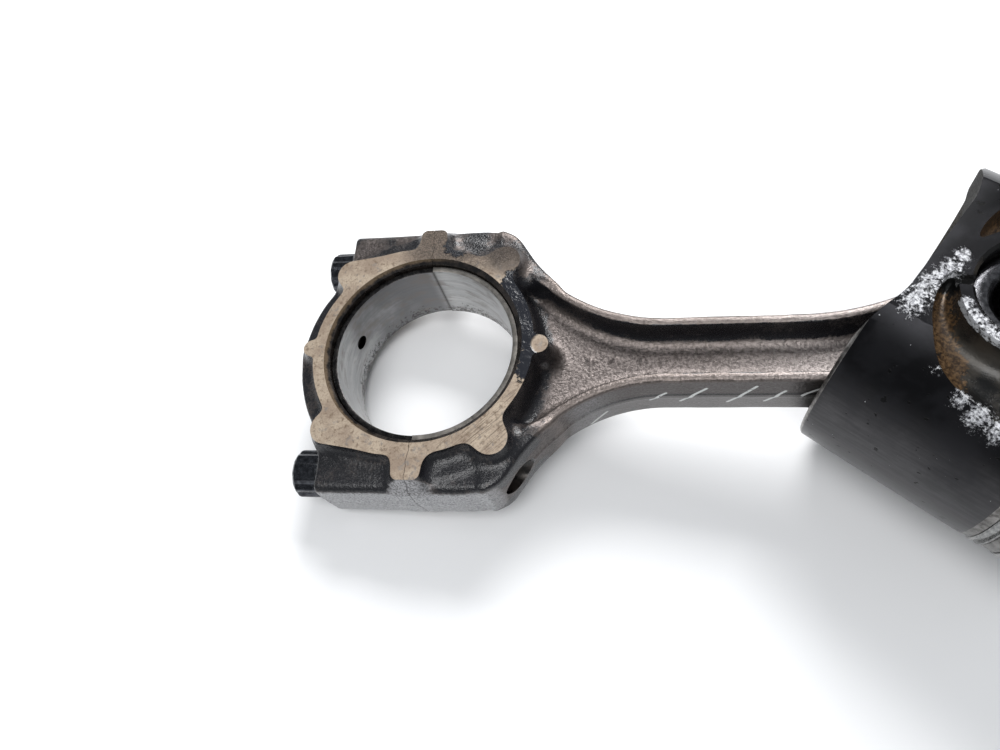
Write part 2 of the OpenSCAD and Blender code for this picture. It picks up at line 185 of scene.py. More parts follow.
def lathe(name, profile, segments=256, start=0.0, turn=2 * math.pi):
    """Solid turned about Z from (radius, height) points; a closed loop, or from axis to axis."""
    full = abs(turn - 2 * math.pi) < 1e-6
    steps = segments if full else segments + 1
    angles = start + np.arange(steps) * turn / segments
    v, rings = [], []
    for r, h in profile:
        if r < 1e-9:
            rings.append([len(v)] * steps)
            v.append((0, 0, h))
        else:
            rings.append(list(range(len(v), len(v) + steps)))
            v += [(r * math.cos(a), r * math.sin(a), h) for a in angles]
    loop = profile[0][0] > 1e-9 or profile[-1][0] > 1e-9
    faces = []
    for i in range(len(profile) if loop else len(profile) - 1):
        low, high = rings[i], rings[(i + 1) % len(profile)]
        for j in range(segments):
            k = (j + 1) % steps
            quad = [low[j], low[k], high[k], high[j]]
            quad = [q for n, q in enumerate(quad) if q not in quad[:n]]
            if len(quad) > 2:
                faces.append(quad)
    if not full:
        faces.append([r[0] for r in rings][::-1])
        faces.append([r[-1] for r in rings])
    ob = new_object(name, v, faces)
    outward(ob)
    return ob


def outward(ob):
    """Turns every face's normal to the outside."""
    bm = bmesh.new()
    bm.from_mesh(ob.data)
    bmesh.ops.remove_doubles(bm, verts=bm.verts, dist=1e-7)
    bmesh.ops.recalc_face_normals(bm, faces=bm.faces)
    bm.to_mesh(ob.data)
    bm.free()


def block(lo, hi):
    """Plain box used only as a cutting tool."""
    v = [(x, y, z) for x in (lo[0], hi[0]) for y in (lo[1], hi[1]) for z in (lo[2], hi[2])]
    f = [(0, 1, 3, 2), (4, 6, 7, 5), (0, 4, 5, 1), (2, 3, 7, 6), (0, 2, 6, 4), (1, 5, 7, 3)]
    return new_object("tool", v, f)


def rod_tool(r, x0, x1, y, z=0.0):
    """Round cutting tool along X."""
    ob = lathe("tool", [(0, x0), (r, x0), (r, x1), (0, x1)], 96)
    place(ob, shift(0, y, z) @ ALONG_X)
    return ob


ALONG_X = Matrix.Rotation(math.pi / 2, 4, "Y")


def shift(x, y=0.0, z=0.0):
    """A move by a distance in millimetres."""
    return Matrix.Translation((x * MM, y * MM, z * MM))


def place(ob, matrix):
    """Moves the vertices themselves."""
    ob.data.transform(matrix)
    ob.data.update()
    return ob


def cut(ob, tool, how="DIFFERENCE"):
    """Boolean of ob with a tool, which is used up."""
    mod = ob.modifiers.new("cut", "BOOLEAN")
    mod.operation = how
    mod.solver = "MANIFOLD"
    mod.object = tool
    graph = bpy.context.evaluated_depsgraph_get()
    graph.update()
    old = ob.data
    me = bpy.data.meshes.new_from_object(ob.evaluated_get(graph), depsgraph=graph)
    ob.modifiers.clear()
    ob.data = me
    bpy.data.meshes.remove(old)
    bpy.data.objects.remove(tool)
    return ob


def smooth(ob, angle):
    """Smooth shading, sharp only where faces meet at more than angle degrees."""
    ob.data.shade_smooth()
    ob.data.set_sharp_from_angle(angle=math.radians(angle))


def paint(ob, materials, choose=None):
    """Gives ob its materials; choose maps face centres and normals to material numbers."""
    ob.data.materials.clear()
    for m in materials:
        ob.data.materials.append(m)
    n = len(ob.data.polygons)
    index = np.zeros(n, np.int32)
    if choose is not None:
        c, nrm = np.empty(n * 3), np.empty(n * 3)
        ob.data.polygons.foreach_get("center", c)
        ob.data.polygons.foreach_get("normal", nrm)
        index = choose(c.reshape(-1, 3) / MM, nrm.reshape(-1, 3)).astype(np.int32)
    ob.data.polygons.foreach_set("material_index", index)
    ob.data.update()


def finish_piece(ob, node, body, angle, mats=None, choose=None):
    """Paints and shades ob, hides the CAD node that it stands for, and hangs it on the empty of what it
    moves with.
    """
    if mats:
        paint(ob, mats, choose)
    smooth(ob, angle)
    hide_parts(node)
    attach(ob, body)


# ---------------------------------------------------------------- rod and cap

SHANK_Y, SHANK_Z = 9.35, 9.6  # half the shank's width at its edges and half its thickness
FORGING_DRAFT = 0.65  # how much wider each side is at the parting line
FLARE_R, FLARE_X = 46.5, 67  # hollow side towards the big end
NECK_R, NECK_X = 68, 101  # hollow side towards the small end
BOSS_Y, BOSS_HALF = 31, 10.3  # middle and half width of a bolt boss
BOSS_CUT_R = 44.3  # where the bosses end on the rod's side
RIM_R, RIM_Z = 37.45, 9.8  # outside of the cap below the thrust face
THRUST_R = 31.7  # outside of the thrust face's ring
PAD_Y = 30  # middle of the pads across the split


def shank_side(x, y):
    """Distance outside the shank's outline seen from above."""
    big = FLARE_R - np.hypot(x - FLARE_X, y - SHANK_Y - FLARE_R)
    small = NECK_R - np.hypot(x - NECK_X, y - SHANK_Y - NECK_R)
    straight = y - SHANK_Y
    return np.where(x < FLARE_X, big, np.where(x > NECK_X, small, straight)) - FORGING_DRAFT


def thrust_side(x, y):
    """Distance outside the raised thrust ring with its lobes, pads and tabs."""
    d = np.hypot(x, y) - THRUST_R
    wide = 3.7 + 0.12 * np.clip(38.5 - y, 0, 8)
    pad = rounded_box(x, y - PAD_Y, wide, 8.5, 1.6)
    d = smin(d, pad, 3.5)
    lobe = disc(x, y, 21.8, 26.9, 4.6)
    shoulder = capsule(x, y, (-23.8, 24.2), (-9, 26.4), 4.7)
    rod_tab, cap_tab = disc(x, y, 33, 0, 2.7), disc(x, y, -32.5, 0, 2.5)
    d = smin(smin(d, lobe, 5), shoulder, 3)
    return smin(smin(d, rod_tab, 2), cap_tab, 1.6)


def boss_field(x, y, z, side):
    """Forged bolt boss: flat outer wall, rounded corners, cut off by the flare."""
    d = rounded_box(y - BOSS_Y, z, BOSS_HALF - 0.04 * z, BOSS_HALF, 2.6)
    inside = -9
    d = smax(d, np.where(x > 0, np.hypot(x, y) - BOSS_CUT_R, inside), 2.0)
    d = smax(d, np.where(x > 0, side, inside), 2.0)
    return smax(d, -x - SEAT_X - 0.3, 1.2)


def pocket_field(x, y, z, outline):
    """Space between the flanges, on one side of the web."""
    flange = 3.05 + 0.08 * (SHANK_Z - z)
    d = smax(outline + flange, 29 - np.hypot(x, y), 1)
    d = smax(d, 23 - x, 2)
    d = smax(d, 22.5 - np.hypot(x - PIN_X, y), 4)
    rise = np.clip((60 - x) / 26, 0, 1)
    web = 1.9 + 1.6 * rise * rise
    return smax(d, web - z, 4.4)


def pips(x, y, z):
    """Three small plain forging marks on the web, each the top of a ball."""
    balls = [np.sqrt((x - cx) ** 2 + y ** 2 + (z - cz) ** 2) - 1.7
             for cx, cz in ((46, 1.1), (53, 0.75), (60.5, 0.65))]
    return np.minimum.reduce(balls)


def forging(x, y, z):
    """Rod and cap as forged in one piece, before machining."""
    uneven = 0.05 * lumps(x, y, z, 3.4) + 0.02 * lumps(y, z, x, 1.3)
    y, z = np.abs(y), np.abs(z)
    r = np.hypot(x, y)
    outline = shank_side(x, y)
    parting = 0.22 * np.exp(-(z / 0.6) ** 2)
    side = outline + 0.04 * z - parting
    rim = smax(r - RIM_R + 0.02 * z - parting, z - RIM_Z, 1.2)
    thrust = smax(thrust_side(x, y) - 0.13 * (THRUST_Z - z), z - THRUST_Z - 1, 0.5)
    near = np.minimum(r - BOSS_CUT_R, 30 - x)
    shank = smax(smax(side, near, 1.5), z - SHANK_Z, 1.2)
    shank = smax(smax(shank, 20 - x, 1), x - PIN_X, 1)
    eye = smax(np.hypot(x - PIN_X, y) - EYE_R + 0.03 * z, z - 13, 1)
    d = smin(rim, shank, 2.5)
    d = smax(d, -pocket_field(x, y, z, outline), 0.9)
    d = smin(d, boss_field(x, y, z, side), 2.8)
    d = smax(smin(d, thrust, 3.6), -x - RIM_R - 0.25, 1)
    return smin(smin(d, pips(x, y, z), 0.5), eye, 5) + uneven


def housing_tool():
    """Bore for the bearing shells, chamfered at both mouths."""
    t, r, c = THRUST_Z, HOUSING_R, 1.2
    return lathe("tool", [(0, -t - 3), (r + c + 3, -t - 3), (r + c, -t), (r, -t + c),
                          (r, t - c), (r + c, t), (r + c + 3, t + 3), (0, t + 3)], 320)


def taper(ob, x0, h0, x1, h1):
    """Cuts both sides of ob to a wedge: half width h0 at x0 from the pin, and h1 at x1."""
    for s in (1, -1):
        v = [(PIN_X + x, y, s * h) for y in (-25, 25)
             for x, h in ((x0, h0), (x1, h1), (x1, 30), (x0, 30))]
        f = [(0, 1, 2, 3), (7, 6, 5, 4), (0, 4, 5, 1), (1, 5, 6, 2), (2, 6, 7, 3), (3, 7, 4, 0)]
        tool = new_object("tool", v, f)
        outward(tool)
        cut(ob, tool)


def split_x(y, z):
    """Where the broken split runs: a rough, slightly wandering surface."""
    wander = 0.22 * np.sin(0.42 * y + 0.8) + 0.13 * np.sin(1.3 * y + 0.7 * z)
    rough = 0.06 * np.sin(3.1 * y + 1.9 * z) + 0.05 * np.sin(4.7 * z - 2.3 * y)
    return wander + rough + 0.9 * ramp(z, 9, -13)


def split_tool(side):
    """Everything on one side of the split, as a block with a broken face."""
    ys, zs = np.arange(-48, 48.1, 0.5), np.arange(-18, 18.1, 0.5)
    gy, gz = np.meshgrid(ys, zs, indexing="ij")
    face = np.stack([split_x(gy, gz) + side * 0.06, gy, gz], -1).reshape(-1, 3)
    far = face.copy()
    far[:, 0] = side * 260
    n, m = len(ys), len(zs)
    idx = np.arange(n * m).reshape(n, m)
    q = np.stack([idx[:-1, :-1], idx[1:, :-1], idx[1:, 1:], idx[:-1, 1:]], -1).reshape(-1, 4)
    loop = np.concatenate([idx[:, 0], idx[-1, 1:], idx[-2::-1, -1], idx[0, -2:0:-1]])
    nxt = np.roll(loop, -1)
    wall = np.stack([loop, loop + n * m, nxt + n * m, nxt], -1)
    quads = np.concatenate([q[:, ::-1], q + n * m, wall[:, ::-1]])
    ob = new_object("tool", np.concatenate([face, far]), quads)
    outward(ob)
    return ob


def make_forging():
    """The rod and cap in one, machined but not yet broken apart."""
    v, q = net(forging, (-41, 0, 0), (168, 47, 17), GRID)
    ob = new_object("forging", v, q)
    cut(ob, block((-60, -60, -THRUST_Z), (220, 60, THRUST_Z)), "INTERSECT")
    cut(ob, housing_tool())
    taper(ob, -20.5, 13.05, 25, 8.5)
    eye = lathe("tool", [(0, -20), (EYE_BORE_R, -20), (EYE_BORE_R, 20), (0, 20)], 200)
    cut(ob, place(eye, shift(PIN_X)))
    for s in (1, -1):
        cut(ob, rod_tool(4.75, -SEAT_X - 9, 70, s * BOLT_Y))
        cut(ob, rod_tool(8.2, -60, -SEAT_X, s * BOLT_Y))
    return ob


def rod_faces(c, n):
    """0 forged, 1 thrust face, 2 housing bore and chamfer, 3 holes, 4 seats and split."""
    x, y, z = c.T
    nx, nz = np.abs(n[:, 0]), np.abs(n[:, 2])
    r, eye = np.hypot(x, y), np.hypot(x - PIN_X, y)
    hole = np.hypot(np.abs(y) - BOLT_Y, z)
    index = np.zeros(len(c))
    index[(np.abs(z) > THRUST_Z - 0.02) & (nz > 0.9)] = 1
    index[(r < HOUSING_R + 1.25) & (np.abs(z) < THRUST_Z - 0.01)] = 2
    index[(hole < 4.8) & (nx < 0.5)] = 3
    index[(np.abs(x + SEAT_X) < 0.05) & (nx > 0.9)] = 4
    index[(np.abs(x) < 2) & (nx > 0.6) & (r > HOUSING_R)] = 4
    index[(eye < EYE_R - 0.1) & (nz > 0.9) & (np.abs(z) > 8.5)] = 1
    index[eye < EYE_BORE_R + 0.1] = 2
    return index


def mark(ob, **marks):
    """Stores numbers on the mesh's vertices for the materials to read."""
    for key, values in marks.items():
        layer = ob.data.attributes.new(key, "FLOAT", "POINT")
        layer.data.foreach_set("value", values.astype(np.float32))


def vertices(ob):
    """Positions in millimetres and normals of ob's vertices."""
    n = len(ob.data.vertices)
    c, nrm = np.empty(n * 3), np.empty(n * 3)
    ob.data.vertices.foreach_get("co", c)
    ob.data.vertices.foreach_get("normal", nrm)
    return c.reshape(-1, 3) / MM, nrm.reshape(-1, 3)


def forged_marks(ob):
    """Where the forging is ridged, black with oil or painted shade, or sheared at its sides, and where
    its sides get painted reflection.
    """
    c, n = vertices(ob)
    x, y, z = c.T
    hollow = np.clip(1 - forging(*(c + 1.8 * n).T) / 1.8, 0, 1)
    ridge = np.clip(1 + forging(*(c - 1.2 * n).T) / 1.2, 0, 1)
    ay, az, r = np.abs(y), np.abs(z), np.hypot(x, y)
    outwards = n[:, 1] * np.sign(y)
    boss = ramp(ay, 19, 23) * ramp(x, 38, 30) * ramp(az, 2.5, 7)
    # the far boss gets less black: painted reflection on its top
    boss = boss * np.where(y > 0, 0.62, 1)
    rim = ramp(r, 40, 38) * ramp(x, 6, 0)
    # black on the pocket's inner walls, which face the web
    pocket = ramp(x, 26, 30) * ramp(-outwards, 0.45, 0.8) * ramp(x, 140, 120)
    # painted shade: black in the hollow corners near the big end
    painted_corner_shade = ramp(hollow, 0.25, 0.8) * ramp(x, 58, 42)
    round_ring = ramp(r, 39.5, 34) * ramp(x, 20, 26)
    # black and glossy: oil on the bosses, the cap's rim and beside the ring, black on the pocket's inner
    # walls, and painted shade in the corners
    oil_and_painted_shade = np.maximum.reduce([boss, 0.9 * rim, pocket, round_ring, painted_corner_shade])
    side = ramp(outwards, 0.75, 0.95) * ramp(az, 9.4, 7.8)
    below_pad = ramp(np.abs(x), 7.5, 4.5) * ramp(ay, 38.2, 38.8)
    side = np.maximum(side, 0.8 * below_pad)
    # painted reflection of the table: pale grey on the outward sides, mostly near the big end
    pale_painted_reflection = side * (0.12 + 0.88 * ramp(x, 56, 36))
    mark(ob, oil_and_painted_shade=oil_and_painted_shade * (1 - side), pale_painted_reflection=pale_painted_reflection, side=side, ridge=ramp(ridge, 0.08, 0.5))


def make_rod(mats):
    """Forging broken into the rod and its cap."""
    whole = make_forging()
    cap = new_object("cap", [(0, 0, 0)], [])
    cap.data = whole.data.copy()
    rod = whole
    rod.name, cap.name = "rod", "rod_bearing_cap"
    cut(rod, split_tool(1), "INTERSECT")
    cut(cap, split_tool(-1), "INTERSECT")
    for ob, node in ((rod, "rod_body"), (cap, "rod_cap")):
        finish_piece(ob, node, "rod", 32, mats, rod_faces)
        forged_marks(ob)


# ---------------------------------------------------------------- bolts

def polar(name, rows, angles):
    """Solid along Z from (height, radius at each angle) rows, closed by a point at each end."""
    n = len(angles)
    v = [(0, 0, rows[0][0])]
    for h, r in rows:
        r = np.broadcast_to(r, n)
        v += list(zip(r * np.cos(angles), r * np.sin(angles), np.broadcast_to(h, n)))
    v.append((0, 0, rows[-1][0]))
    faces = []
    for j in range(n):
        k = (j + 1) % n
        faces.append((0, 1 + k, 1 + j))
        faces.append((len(v) - 1, len(v) - 1 - n + j, len(v) - 1 - n + k))
        for i in range(len(rows) - 1):
            a = 1 + i * n
            faces.append((a + j, a + k, a + n + k, a + n + j))
    return new_object(name, v, faces)


def twelve_point(angles, flat):
    """Radius of two crossed hexagons, with slightly rounded points."""
    sixth = math.pi / 3
    one = flat / np.cos((angles % sixth) - sixth / 2)
    two = flat / np.cos(((angles + sixth / 2) % sixth) - sixth / 2)
    return np.minimum(np.maximum(one, two), flat * 1.135)


def cap_bolt(y, name, node, mat):
    """Flanged twelve-point bolt: head, washer face, reduced shank and rolled thread."""
    flange_r, shank_r, thread_r = 7.2, 4.0, 4.45
    pitch, end = 1.0, 22.0
    angles = np.arange(144) * 2 * math.pi / 144
    star = twelve_point(angles, 6.0)
    seat = -SEAT_X
    top = seat - HEAD_H
    rows = [(top + 0.9, 2.4), (top + 0.15, 3.0), (top, 3.5), (top, 5.3),
            (top + 0.25, np.minimum(star, 5.9)), (top + 0.9, np.minimum(star, 6.6)), (top + 1.5, star),
            (seat - 2.5, star), (seat - 2.1, np.minimum(star + 0.25, 6.8)),
            (seat - 1.7, flange_r - 0.2), (seat - 1.35, flange_r), (seat - 0.25, flange_r),
            (seat, flange_r - 0.2), (seat, 4.9), (seat + 0.5, thread_r), (seat + 12, thread_r),
            (seat + 13.5, shank_r), (-6, shank_r), (-4.5, 3.85)]
    for h in np.arange(-4.3, end - 0.2, 0.125):
        turn = (h / pitch - angles / (2 * math.pi)) % 1
        groove = 0.58 * np.abs(2 * turn - 1) ** 1.1
        point = np.clip(h - (end - 1.2), 0, 2)
        rows.append((h, np.minimum(thread_r - groove, thread_r - point)))
    rows.append((end, 2.9))
    ob = polar(name, rows, angles)
    place(ob, shift(0, y) @ ALONG_X)
    outward(ob)
    finish_piece(ob, node, "rod", 28, [mat])


# ---------------------------------------------------------------- bearings and bush

def bearing_half(side, width, name, node, mats):
    """Half shell: steel back, thin lining, rounded edges and a small relief at each end."""
    h, out, inn = width / 2, HOUSING_R - 0.05, 25.45
    profile = [(inn + 0.35, -h), (out - 0.3, -h), (out, -h + 0.3), (out, h - 0.3),
               (out - 0.3, h), (inn + 0.35, h), (inn + 0.08, h - 0.12), (inn, h - 0.4),
               (inn, -h + 0.4), (inn + 0.08, -h + 0.12)]
    gap = 0.05 / inn
    start = (-math.pi / 2 if side > 0 else math.pi / 2) + gap
    ob = lathe(name, profile, 200, start, math.pi - 2 * gap)
    if side < 0:
        hole = lathe("tool", [(0, 20), (2.2, 20), (2.2, 30), (0, 30)], 64)
        cut(ob, place(hole, Matrix.Rotation(math.radians(160), 4, "Z") @ ALONG_X))

    def faces(c, n):
        """0 lining, 1 steel edges and back."""
        r = np.hypot(c[:, 0], c[:, 1])
        return np.where((r < inn + 0.05) & (np.abs(n[:, 2]) < 0.3), 0, 1)
    finish_piece(ob, node, "rod", 40, mats, faces)


def make_bush(mat):
    """Bronze bush, its ends tapered with the eye."""
    out = EYE_BORE_R - 0.05
    loop = [(PIN_BORE_R, -14), (out, -14), (out, 14), (PIN_BORE_R, 14)]
    ob = lathe("small_end_bush_liner", loop, 200)
    place(ob, shift(PIN_X))
    taper(ob, -20, 12.8, 20, 8.8)
    finish_piece(ob, "small_end_bush", "rod", 40, [mat])


# ---------------------------------------------------------------- wrist pin and circlips

PISTON_AT = shift(PIN_X) @ Matrix.Rotation(SWING, 4, "Z")


def make_pin(mat):
    """Hollow ground pin, bevelled at both ends; h is half its length."""
    h = 30
    ends = [(8, h - 1.3), (9.2, h - 0.1), (9.45, h), (12.2, h), (12.5, h - 0.12), (PIN_R, h - 1)]
    profile = [(r, -z) for r, z in ends] + [(r, z) for r, z in reversed(ends)]
    ob = lathe("wrist_pin_ground", profile, 200)
    place(ob, PISTON_AT)
    finish_piece(ob, "wrist_pin", "pin", 25, [mat])


def make_circlip(z, name, node, mat):
    """Round wire ring with its opening towards the skirt's end."""
    n, wire, ring = 16, 0.8, 13.4
    loop = [(ring + wire * math.cos(t), wire * math.sin(t) + z)
            for t in (2 * math.pi * i / n for i in range(n))]
    half = math.radians(30)
    ob = lathe(name, loop, 160, math.pi + half, 2 * math.pi - 2 * half)
    place(ob, PISTON_AT)
    finish_piece(ob, node, "piston", 50, [mat])


# ---------------------------------------------------------------- piston

# the piston's own frame: X from the pin's axis to the crown, Z along the pin
FLAT_Z, RECESS_Z, RECESS_TOP = 34.8, 27.0, 17.0  # flats round the pin, and the cast recess
SKIRT_END, CROWN_X = -26, 45.8
LAND_R, RING_R = 40.1, 40.5  # lands between the grooves, and the rings
TOP_GROOVE, SECOND_GROOVE, OIL_GROOVE = 34.3, 27.3, 21.0  # lower side of each groove
CLIP_SLOT_ANGLE = math.radians(205)  # where a pick reaches the circlip


def piston_profile():
    """Outside of the piston with its grooves, from the skirt's end to the crown."""
    p = [(0, SKIRT_END), (39.5, SKIRT_END), (40.05, SKIRT_END + 0.4)]
    p += [(40.46 - 0.0002 * (x + 4) ** 2, x) for x in np.arange(-25.1, 19.5, 2.0)]  # barrel-shaped
    p += [(LAND_R, 20.0)]
    for low, high, floor in ((OIL_GROOVE, OIL_GROOVE + 3, 36.0),
                             (SECOND_GROOVE, SECOND_GROOVE + 2, 36.6),
                             (TOP_GROOVE - 1.55, TOP_GROOVE + 4.05, 31.45)):
        edge = LAND_R - 0.12
        p += [(LAND_R, low - 0.12), (edge, low), (floor + 0.15, low), (floor, low + 0.15),
              (floor, high - 0.15), (floor + 0.15, high), (edge, high), (LAND_R, high + 0.12)]
    return p + [(LAND_R, CROWN_X - 0.6), (39.83, CROWN_X - 0.25), (39.5, CROWN_X), (0, CROWN_X)]


def bowl_tool():
    """Combustion bowl with a raised centre and an undercut lip."""
    return lathe("tool", [
        (0, 48), (22.6, 48), (22.6, CROWN_X), (21.9, 45.5), (21.6, 45.0), (21.55, 44.0), (21.9, 42.8),
        (22.7, 41.2), (23.3, 39.4), (23.5, 37.4), (23.2, 35.4), (22.3, 33.7), (20.9, 32.5),
        (19.0, 31.9), (17.0, 31.85), (15.0, 32.3), (12.6, 33.5), (9.5, 35.4), (6.5, 37.2),
        (4.0, 38.5), (2.0, 39.2), (0, 39.4)], 200)


def cavity(x, y, z):
    """Hollow inside the skirt, with filleted pin bosses standing in it."""
    y, z = np.abs(y), np.abs(z)
    rr = np.hypot(y, z)
    slope = 14 - 0.1 * x  # boss's inner face; above x 12 the blends bring it up to 1 mm further in
    skirt = smax(smax(rr - 36.4 + 0.03 * (x + 26), z - 21, 4), x - 14, 7)
    upper = smax(smax(smax(rr - 27, x - 23.5, 6), z - slope, 3), -x - 4, 1)
    boss = np.where(x > 0, y, np.hypot(x, y)) - 18.6 - 0.06 * (z - 12)
    boss = smax(boss, slope - z, 1.6)
    void = smax(smin(skirt, upper, 2), -boss, 4)
    return void + 0.06 * lumps(x, y, z, 4.0)


def recess(x, y, z):
    """Cast recess that leaves each pin boss standing as a ring."""
    y, z = np.abs(y), np.abs(z)
    stadium = np.hypot(x - 5, np.maximum(y - 8, 0)) - 21.6 - 0.1 * (z - RECESS_Z)
    band = smax(smax(4 - x, x - RECESS_TOP, 3), y - 60, 1)
    d = smin(stadium, band, 2.5)
    d = smax(d, x - RECESS_TOP, 4)
    d = smax(d, 16.4 + 0.05 * (FLAT_Z - z) - np.hypot(x, y), 3.5)
    d = smax(d, RECESS_Z - z, 5.5)
    return smax(d, z - 40, 0.5) + 0.05 * lumps(x, y, z, 3.0)


def pin_bore_tool():
    """Pin bore with circlip grooves and chamfered mouths."""
    bore, groove, mouth = PIN_BORE_R, 14.25, 13.95
    half = [(bore, 30.0), (bore, 30.1), (groove, 30.15), (groove, 31.95), (bore, 32.0),
            (bore, FLAT_Z - 0.8), (mouth, FLAT_Z + 0.1), (mouth, 45)]
    return lathe("tool", [(0, -45)] + [(r, -z) for r, z in reversed(half)] + half + [(0, 45)], 200)


def skirt_end_tool():
    """Lets the skirt's open end stand back in a smooth curve beside the pin bosses."""
    b = np.linspace(-46, 46, 120)
    past, depth, inner, outer = SKIRT_END - 0.2, 3.9, 13, 31
    a = past + depth * (1 - ramp(np.abs(b), inner, outer))
    a = np.where(np.abs(b) > outer, SKIRT_END - 1, a)
    n = len(b)
    v = [(x, y, z) for z in (-50, 50) for x, y in
         list(zip(a, b)) + [(-40, y) for y in b[::-1]]]
    m = 2 * n
    faces = [tuple(range(m))[::-1], tuple(range(m, 2 * m))]
    faces += [(i, (i + 1) % m, m + (i + 1) % m, m + i) for i in range(m)]
    ob = new_object("tool", v, faces)
    outward(ob)
    return ob


def make_piston(mats):
    """Cast and turned piston."""
    ob = place(lathe("piston_casting", piston_profile(), 400), ALONG_X)
    v, q = net(cavity, (-29, 0, 0), (25, 38, 22.5), 0.6)
    cut(ob, new_object("tool", v, q))
    v, q = net(recess, (-19.5, 0, 0), (18.5, 44, 42), 0.6)
    cut(ob, new_object("tool", v, q))
    for s in (1, -1):
        z0, z1 = sorted((s * FLAT_Z, s * 60))
        cut(ob, block((-60, -50, z0), (RECESS_TOP, 50, z1)))
        z0, z1 = sorted((s * (FLAT_Z - 1.8), s * 60))
        slot = block((12, -1.3, z0), (18.4, 1.3, z1))
        cut(ob, place(slot, Matrix.Rotation(CLIP_SLOT_ANGLE, 4, "Z")))
    cut(ob, skirt_end_tool())
    cut(ob, pin_bore_tool())
    cut(ob, place(bowl_tool(), ALONG_X))
    valve_y, valve_r, valve_floor = 17, 12.5, 45.1
    for y in (-valve_y, valve_y):
        for z in (-valve_y, valve_y):
            cut(ob, rod_tool(valve_r, valve_floor, 48, y, z))

    def faces(c, n):
        """0 skirt, 1 casting, 2 turned lands and edges, 3 crown, 4 the skirt's end."""
        x, y, z = c.T
        nx, nz = n[:, 0], np.abs(n[:, 2])
        rr, pin = np.hypot(y, z), np.hypot(x, y)
        end = x < -21
        index = np.ones(len(c))
        index[(rr > LAND_R + 0.1) & (x < 20)] = 0
        index[end & (nx < -0.3) & (rr > 39.3)] = 2
        index[end & (nx < -0.93)] = 4
        index[(x > 19.3) & (rr > 30)] = 2
        index[pin < 14.3] = 1
        index[(np.abs(z) > FLAT_Z - 0.02) & (nz > 0.9)] = 0
        index[(x > 31) & (rr < 39.8)] = 3
        return index
    paint(ob, mats, faces)
    place(ob, PISTON_AT)
    finish_piece(ob, "piston", "piston", 34)


# ---------------------------------------------------------------- rings

def on_piston(ob, mat, node, body, angle=30):
    """Finishes a piece that was turned about Z, as one about the piston's axis."""
    place(ob, ALONG_X)
    place(ob, PISTON_AT)
    finish_piece(ob, node, body, angle, [mat])


def ring_outline(inner, low, high, face):
    """Section of a split ring: eased edges and a slightly raised running face."""
    mid = (low + high) / 2
    return [(inner, low + 0.15), (inner + 0.15, low), (face - 0.2, low), (face - 0.05, low + 0.15),
            (face, mid), (face - 0.05, high - 0.15), (face - 0.2, high), (inner + 0.15, high),
            (inner, high - 0.15)]


def make_rings(mat, carrier, spring):
    """Both compression rings, the oil ring with its spring, and the iron ring carrier."""
    gap = 0.3 / RING_R
    # a ring's gap is turned to lie where the part's own gap lies
    for name, node, body, low, h, at in (
            ("top_compression_ring", "top_ring", "top_ring", TOP_GROOVE, 2.5, 90),
            ("second_compression_ring", "second_ring", "second_ring", SECOND_GROOVE, 2.0, 270)):
        loop = ring_outline(37.2, low + 0.1, low + h - 0.1, RING_R)
        ob = lathe(name, loop, 300, math.radians(at) + gap, 2 * math.pi - 2 * gap)
        on_piston(ob, mat, node, body)
    low, high = OIL_GROOVE + 0.1, OIL_GROOVE + 2.9
    inner, waist = 37.65, 39.5
    loop = [(inner, low), (40.1, low), (RING_R, low + 0.35), (RING_R, low + 0.6), (waist, low + 0.95),
            (waist, high - 0.95), (RING_R, high - 0.6), (RING_R, high - 0.35), (40.1, high),
            (inner, high)]
    ob = lathe("oil_scraper_ring", loop, 300, math.radians(90) + gap, 2 * math.pi - 2 * gap)
    on_piston(ob, mat, "oil_ring", "oil_ring")
    low, high, t = TOP_GROOVE - 1.5, TOP_GROOVE + 4.0, TOP_GROOVE
    back, floor, face = 31.5, 36.6, LAND_R
    loop = [(back, low), (face - 0.15, low), (face, low + 0.15), (face, t - 0.1), (face - 0.1, t),
            (floor, t), (floor, t + 2.5), (face - 0.1, t + 2.5), (face, t + 2.6),
            (face, high - 0.15), (face - 0.15, high), (back, high)]
    on_piston(lathe("ring_carrier_insert", loop, 300), carrier, "ring_carrier", "piston")
    make_spring(spring)


def make_spring(mat):
    """Fine coil spring closed into a ring behind the oil ring."""
    turns, per, sides = 210, 10, 5
    major, coil, wire = 36.85, 0.5, 0.17
    t = np.arange(turns * per) / per * 2 * math.pi
    big = t / turns
    out = np.stack([np.cos(big), np.sin(big), 0 * big], 1)
    up = np.array([0, 0, 1.0])
    centre = out * (major + coil * np.cos(t))[:, None] + up * (coil * np.sin(t))[:, None]
    ahead = np.roll(centre, -1, 0) - np.roll(centre, 1, 0)
    ahead /= np.linalg.norm(ahead, axis=1)[:, None]
    radial = out * np.cos(t)[:, None] + up * np.sin(t)[:, None]
    other = np.cross(ahead, radial)
    other /= np.linalg.norm(other, axis=1)[:, None]
    radial = np.cross(other, ahead)
    ang = np.arange(sides) * 2 * math.pi / sides
    v = (centre[:, None] + wire * (radial[:, None] * np.cos(ang)[None, :, None]
                                   + other[:, None] * np.sin(ang)[None, :, None]))
    n = len(t)
    idx = np.arange(n * sides).reshape(n, sides)
    a, b = idx, np.roll(idx, -1, 0)
    q = np.stack([a, b, np.roll(b, -1, 1), np.roll(a, -1, 1)], -1).reshape(-1, 4)
    ob = new_object("oil_ring_coil_spring", v.reshape(-1, 3) + up * (OIL_GROOVE + 1.5), q)
    outward(ob)
    on_piston(ob, mat, "oil_ring_spring", "oil_ring", angle=60)


# ---------------------------------------------------------------- materials

# plain slanting dashes of white paint on the shank's near side: x, z of both ends
PAINT_DASHES = ((46.0, -8.0, 50.5, -3.5), (62.5, -1.5, 66.5, 2.5), (70.5, -3.0, 77.0, 5.0),
                (83.0, -4.0, 89.5, 6.0), (92.5, -3.5, 97.0, 3.0), (101.5, 0.5, 107.0, 6.5))


